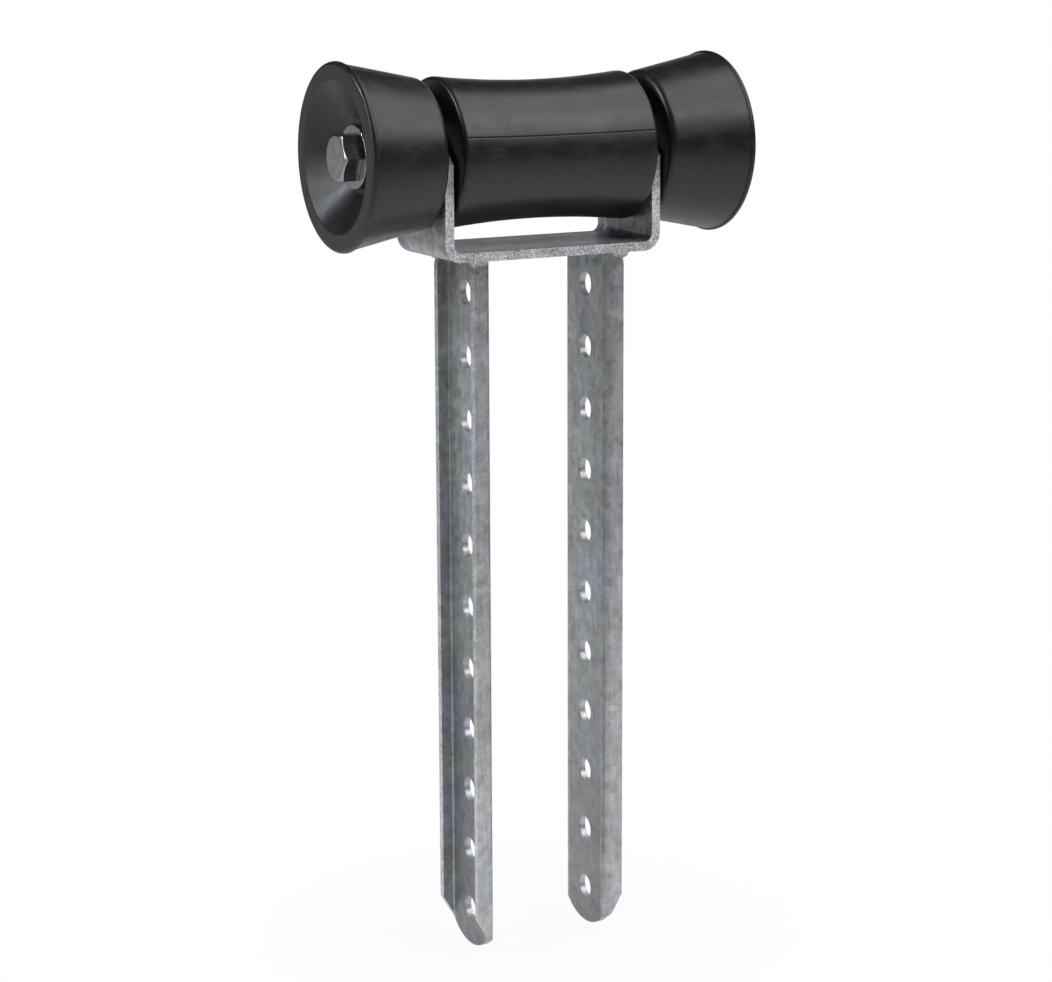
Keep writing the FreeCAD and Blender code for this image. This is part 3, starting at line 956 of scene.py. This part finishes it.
def nut_surface():
    """A closed loop of rows: seat, chamfered hexagon, shoulder, round collar, ring pocket and
    bore."""
    seat, shoulder, end = nut_low[0], nut_low[0] + NUT_HEX_HEIGHT, nut_high[0]
    near = np.linspace(0.05, 1.9, 12)
    sides = seat + np.concatenate([near, [4, 8], NUT_HEX_HEIGHT - near[::-1]])
    round_edge = np.linspace(0, math.pi / 2, 7)
    bore = BOLT_RADIUS + 0.1
    rings = [(seat, bore), (seat, 10.9)]
    rings += [(x, np.minimum(chamfered(x, seat, 1.0), chamfered(x, shoulder, -1.0)))
              for x in sides]
    rings += [(shoulder, COLLAR_RADIUS + 0.02), (shoulder + 0.2, COLLAR_RADIUS)]
    rings += [(end - 1.0 + math.sin(f), COLLAR_RADIUS - 1.0 + math.cos(f)) for f in round_edge]
    rings += [(end, POCKET_RADIUS + 0.1), (end - 0.2, POCKET_RADIUS),
              (end - POCKET_DEPTH, POCKET_RADIUS), (end - POCKET_DEPTH, bore)]
    return stacked(rings), grid_faces(len(rings), len(BOLT_TURN), wrap_rows=True,
                                      wrap_columns=True)


def crisp(piece):
    """Keeps shading flat up to every edge sharper than 28 degrees."""
    piece.data.set_sharp_from_angle(angle=math.radians(28))


points, *face_sets = bolt_surface()
piece = add_mesh("axle_bolt_plated", points, *face_sets)
crisp(piece)
finish_piece(piece, zinc, "zinc_plated_steel", "bracket", "axle_bolt")

piece = add_mesh("lock_nut_plated", *nut_surface())
crisp(piece)
finish_piece(piece, zinc, "zinc_plated_steel", "bracket", "lock_nut")

# %% [markdown]
# ### Washers and the nylon ring
#
# These are the simplest turned pieces: four corners each, a little rounded. The sleeves in
# the rollers can't be seen, so they stay as the CAD made them and only get their finish.

# %% Washers, ring and sleeves
WASHER_BORE = 8.5


def add_ring(name, low, high, inner, edge, material, slot, node, side=1):
    """A turned ring between x = low and x = high, with rounded corners: its section is the
    rectangle from the inner radius to half of the CAD part's height."""
    node_low, node_high = span(node)
    outer = (node_high[2] - node_low[2]) / 2
    corners = [(low, inner, edge), (low, outer, edge), (high, outer, edge), (high, inner, edge)]
    points, faces = turned(rounded_outline(corners), FULL_TURN[::2])
    piece = add_mesh(name, points * (side, 1, 1), faces)
    finish_piece(piece, material, slot, "bracket", node)


for side, node in ((1, "nut_washer"), (-1, "head_washer")):
    add_ring(f"{node}_plated", washer_low[0], washer_high[0], WASHER_BORE, 0.45,
             zinc, "zinc_plated_steel", node, side)
add_ring("lock_nut_ring_nylon", ring_low[0], ring_high[0], BOLT_RADIUS, 0.35,
         nylon, "nylon", "lock_nut_ring")

for name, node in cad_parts.items():
    if "sleeve" in name:
        node.data.materials.clear()
        node.data.materials.append(galvanised_stem)

# %% [markdown]
# ## Stage, light and camera
#
# The photo is a studio shot on white. The floor and the world look white to the camera but
# give little light, so the rollers stay black and a faint shadow stays under the channels.
# Reflections see a pool of white floor round the channels' feet, which brightens the lower
# ends of the steel. Two large softboxes above give the broad highlight along the rollers.
# A small bluish key light at the left throws the faint shadow that the strap casts on the
# right channel, and four weaker boxes round the object stand for the room's pale walls.

# %% Floor and world
WORLD_LIGHT = 0.02
FLOOR_HALF_SIZE = 4000.0
FLOOR_GAP = 0.5
MIRROR_SHARE = 0.75
POOL_REACH = (1100, 250)
POOL_FADE = (50, 450)
SHADOW_REACH = (60, 190)


def floor_material():
    """White light of its own to the camera, a diffuse part that lights the object, and a
    pool of light round the channels' feet that only reflections see, weaker at the back.
    Near the feet the camera sees a little of the diffuse part, so that a faint shadow is
    left."""
    material, shader, place = new_material("floor_white")
    connect(shader, Base_Color=grey(0.8), Roughness=0.9)
    x, y, _ = place.parts()
    away = (x * x + y * y) ** 0.5
    path = material.node_tree.nodes.new("ShaderNodeLightPath")
    camera = Signal(material.node_tree, path.outputs["Is Camera Ray"])
    mirror = Signal(material.node_tree, path.outputs["Is Glossy Ray"])
    glow = camera.node("ShaderNodeEmission", {}, {"Color": grey(1.0), "Strength": 1.0})
    lit = Signal(material.node_tree, shader.outputs[0])
    pool = MIRROR_SHARE * away.rise(*POOL_REACH) * (1 - 0.4 * y.rise(*POOL_FADE))
    share = camera * (0.94 + 0.06 * away.rise(*SHADOW_REACH)) + mirror * pool
    mixed = camera.node("ShaderNodeMixShader", {}, {0: share, 1: lit, 2: glow})
    output = material.node_tree.nodes["Material Output"]
    material.node_tree.links.new(mixed.socket, output.inputs["Surface"])
    return material


def add_floor():
    """A large flat square just under the channels."""
    half, z = FLOOR_HALF_SIZE, TIP - FLOOR_GAP
    corners = np.array([(-half, -half, z), (half, -half, z), (half, half, z), (-half, half, z)])
    floor = add_mesh("floor", corners, np.array([[0, 1, 2, 3]]), closed=False)
    floor.data.materials.append(floor_material())


def set_world(light):
    """The world: white to the camera, and an even light of that strength to the rest."""
    world = bpy.data.worlds.new("studio")
    world.use_nodes = True
    tree = world.node_tree
    background = tree.nodes["Background"]
    path = tree.nodes.new("ShaderNodeLightPath")
    camera = Signal(tree, path.outputs["Is Camera Ray"])
    strength = camera * (1.0 - light) + light
    background.inputs["Color"].default_value = grey(1.0)
    tree.links.new(strength.socket, background.inputs["Strength"])
    bpy.context.scene.world = world


add_floor()
set_world(WORLD_LIGHT)
print(f"floor {FLOOR_GAP} mm below the channels, world light {WORLD_LIGHT}")

# %% Softboxes
LIGHT_TARGET = Vector((0, 0, 0.15))
WARM, COOL, WHITE = (1.0, 0.99, 0.96), (0.84, 0.90, 1.0), (1.0, 1.0, 1.0)


def add_softbox(name, direction, distance, size, power, tint=WHITE):
    """An area light of that power in watts, that far from the bracket in metres, turned so
    that it faces it: place = target + distance * direction / its length."""
    light = bpy.data.lights.new(name, "AREA")
    light.shape = "RECTANGLE"
    light.size, light.size_y = size
    light.energy = power
    light.color = tint
    box = bpy.data.objects.new(name, light)
    box.location = LIGHT_TARGET + Vector(direction).normalized() * distance
    box.rotation_euler = (LIGHT_TARGET - box.location).to_track_quat("-Z", "Y").to_euler()
    box.visible_camera = False
    bpy.context.scene.collection.objects.link(box)
    print(f"{name}: {power} W")


add_softbox("softbox_top", (0.28, -0.28, 0.87), 2.0, (2.5, 1.4), 25, WARM)
add_softbox("softbox_top_front", (0.50, -0.62, 0.60), 2.0, (1.6, 0.9), 15, WARM)
add_softbox("key_left", (-0.728, 0.322, 0.604), 3.0, (0.16, 0.16), 22, COOL)
add_softbox("softbox_left", (-0.92, 0.12, 0.32), 2.2, (0.60, 1.4), 12)
add_softbox("softbox_low_left", (-0.50, 0.86, 0.02), 2.2, (1.0, 0.8), 1.0)
add_softbox("softbox_back", (0.46, 0.87, 0.19), 2.2, (1.8, 0.8), 2.4)
add_softbox("softbox_right_back", (0.88, 0.42, 0.35), 2.4, (1.4, 1.4), 7)

# %% [markdown]
# ## The camera
#
# The camera was fitted to points measured in the photo. It stands to the left of the
# bracket, a little above it, and looks down by eleven degrees. The lens is long, and a
# small shift puts the optical axis where the fit found it.

# %% Camera
PHOTO_SIZE = (1052, 982)
SENSOR_WIDTH = 36.0
CAMERA_PLACE = (-668.23, -1260.99, 367.04)
CAMERA_YAW, CAMERA_PITCH, CAMERA_ROLL = 27.864, 10.979, 0.223
FOCAL_PIXELS = 2632.4
OPTICAL_CENTRE = (527.0, 440.0)

camera_data = bpy.data.cameras.new("photo_camera")
camera_data.sensor_width = SENSOR_WIDTH
camera_data.lens = FOCAL_PIXELS * SENSOR_WIDTH / PHOTO_SIZE[0]
camera_data.shift_x = (PHOTO_SIZE[0] / 2 - OPTICAL_CENTRE[0]) / PHOTO_SIZE[0]
camera_data.shift_y = (OPTICAL_CENTRE[1] - PHOTO_SIZE[1] / 2) / PHOTO_SIZE[0]
camera = bpy.data.objects.new("photo_camera", camera_data)
camera.location = np.array(CAMERA_PLACE) * MM
level = Euler((math.radians(90 - CAMERA_PITCH), 0, -math.radians(CAMERA_YAW))).to_matrix()
tilt = Matrix.Rotation(-math.radians(CAMERA_ROLL), 3, "Z")
camera.rotation_euler = (level @ tilt).to_euler()
bpy.context.scene.collection.objects.link(camera)
bpy.context.scene.camera = camera
bpy.context.scene.view_settings.view_transform = "Standard"
print(f"lens {camera_data.lens:.2f} mm, shift {camera_data.shift_y:.4f}")
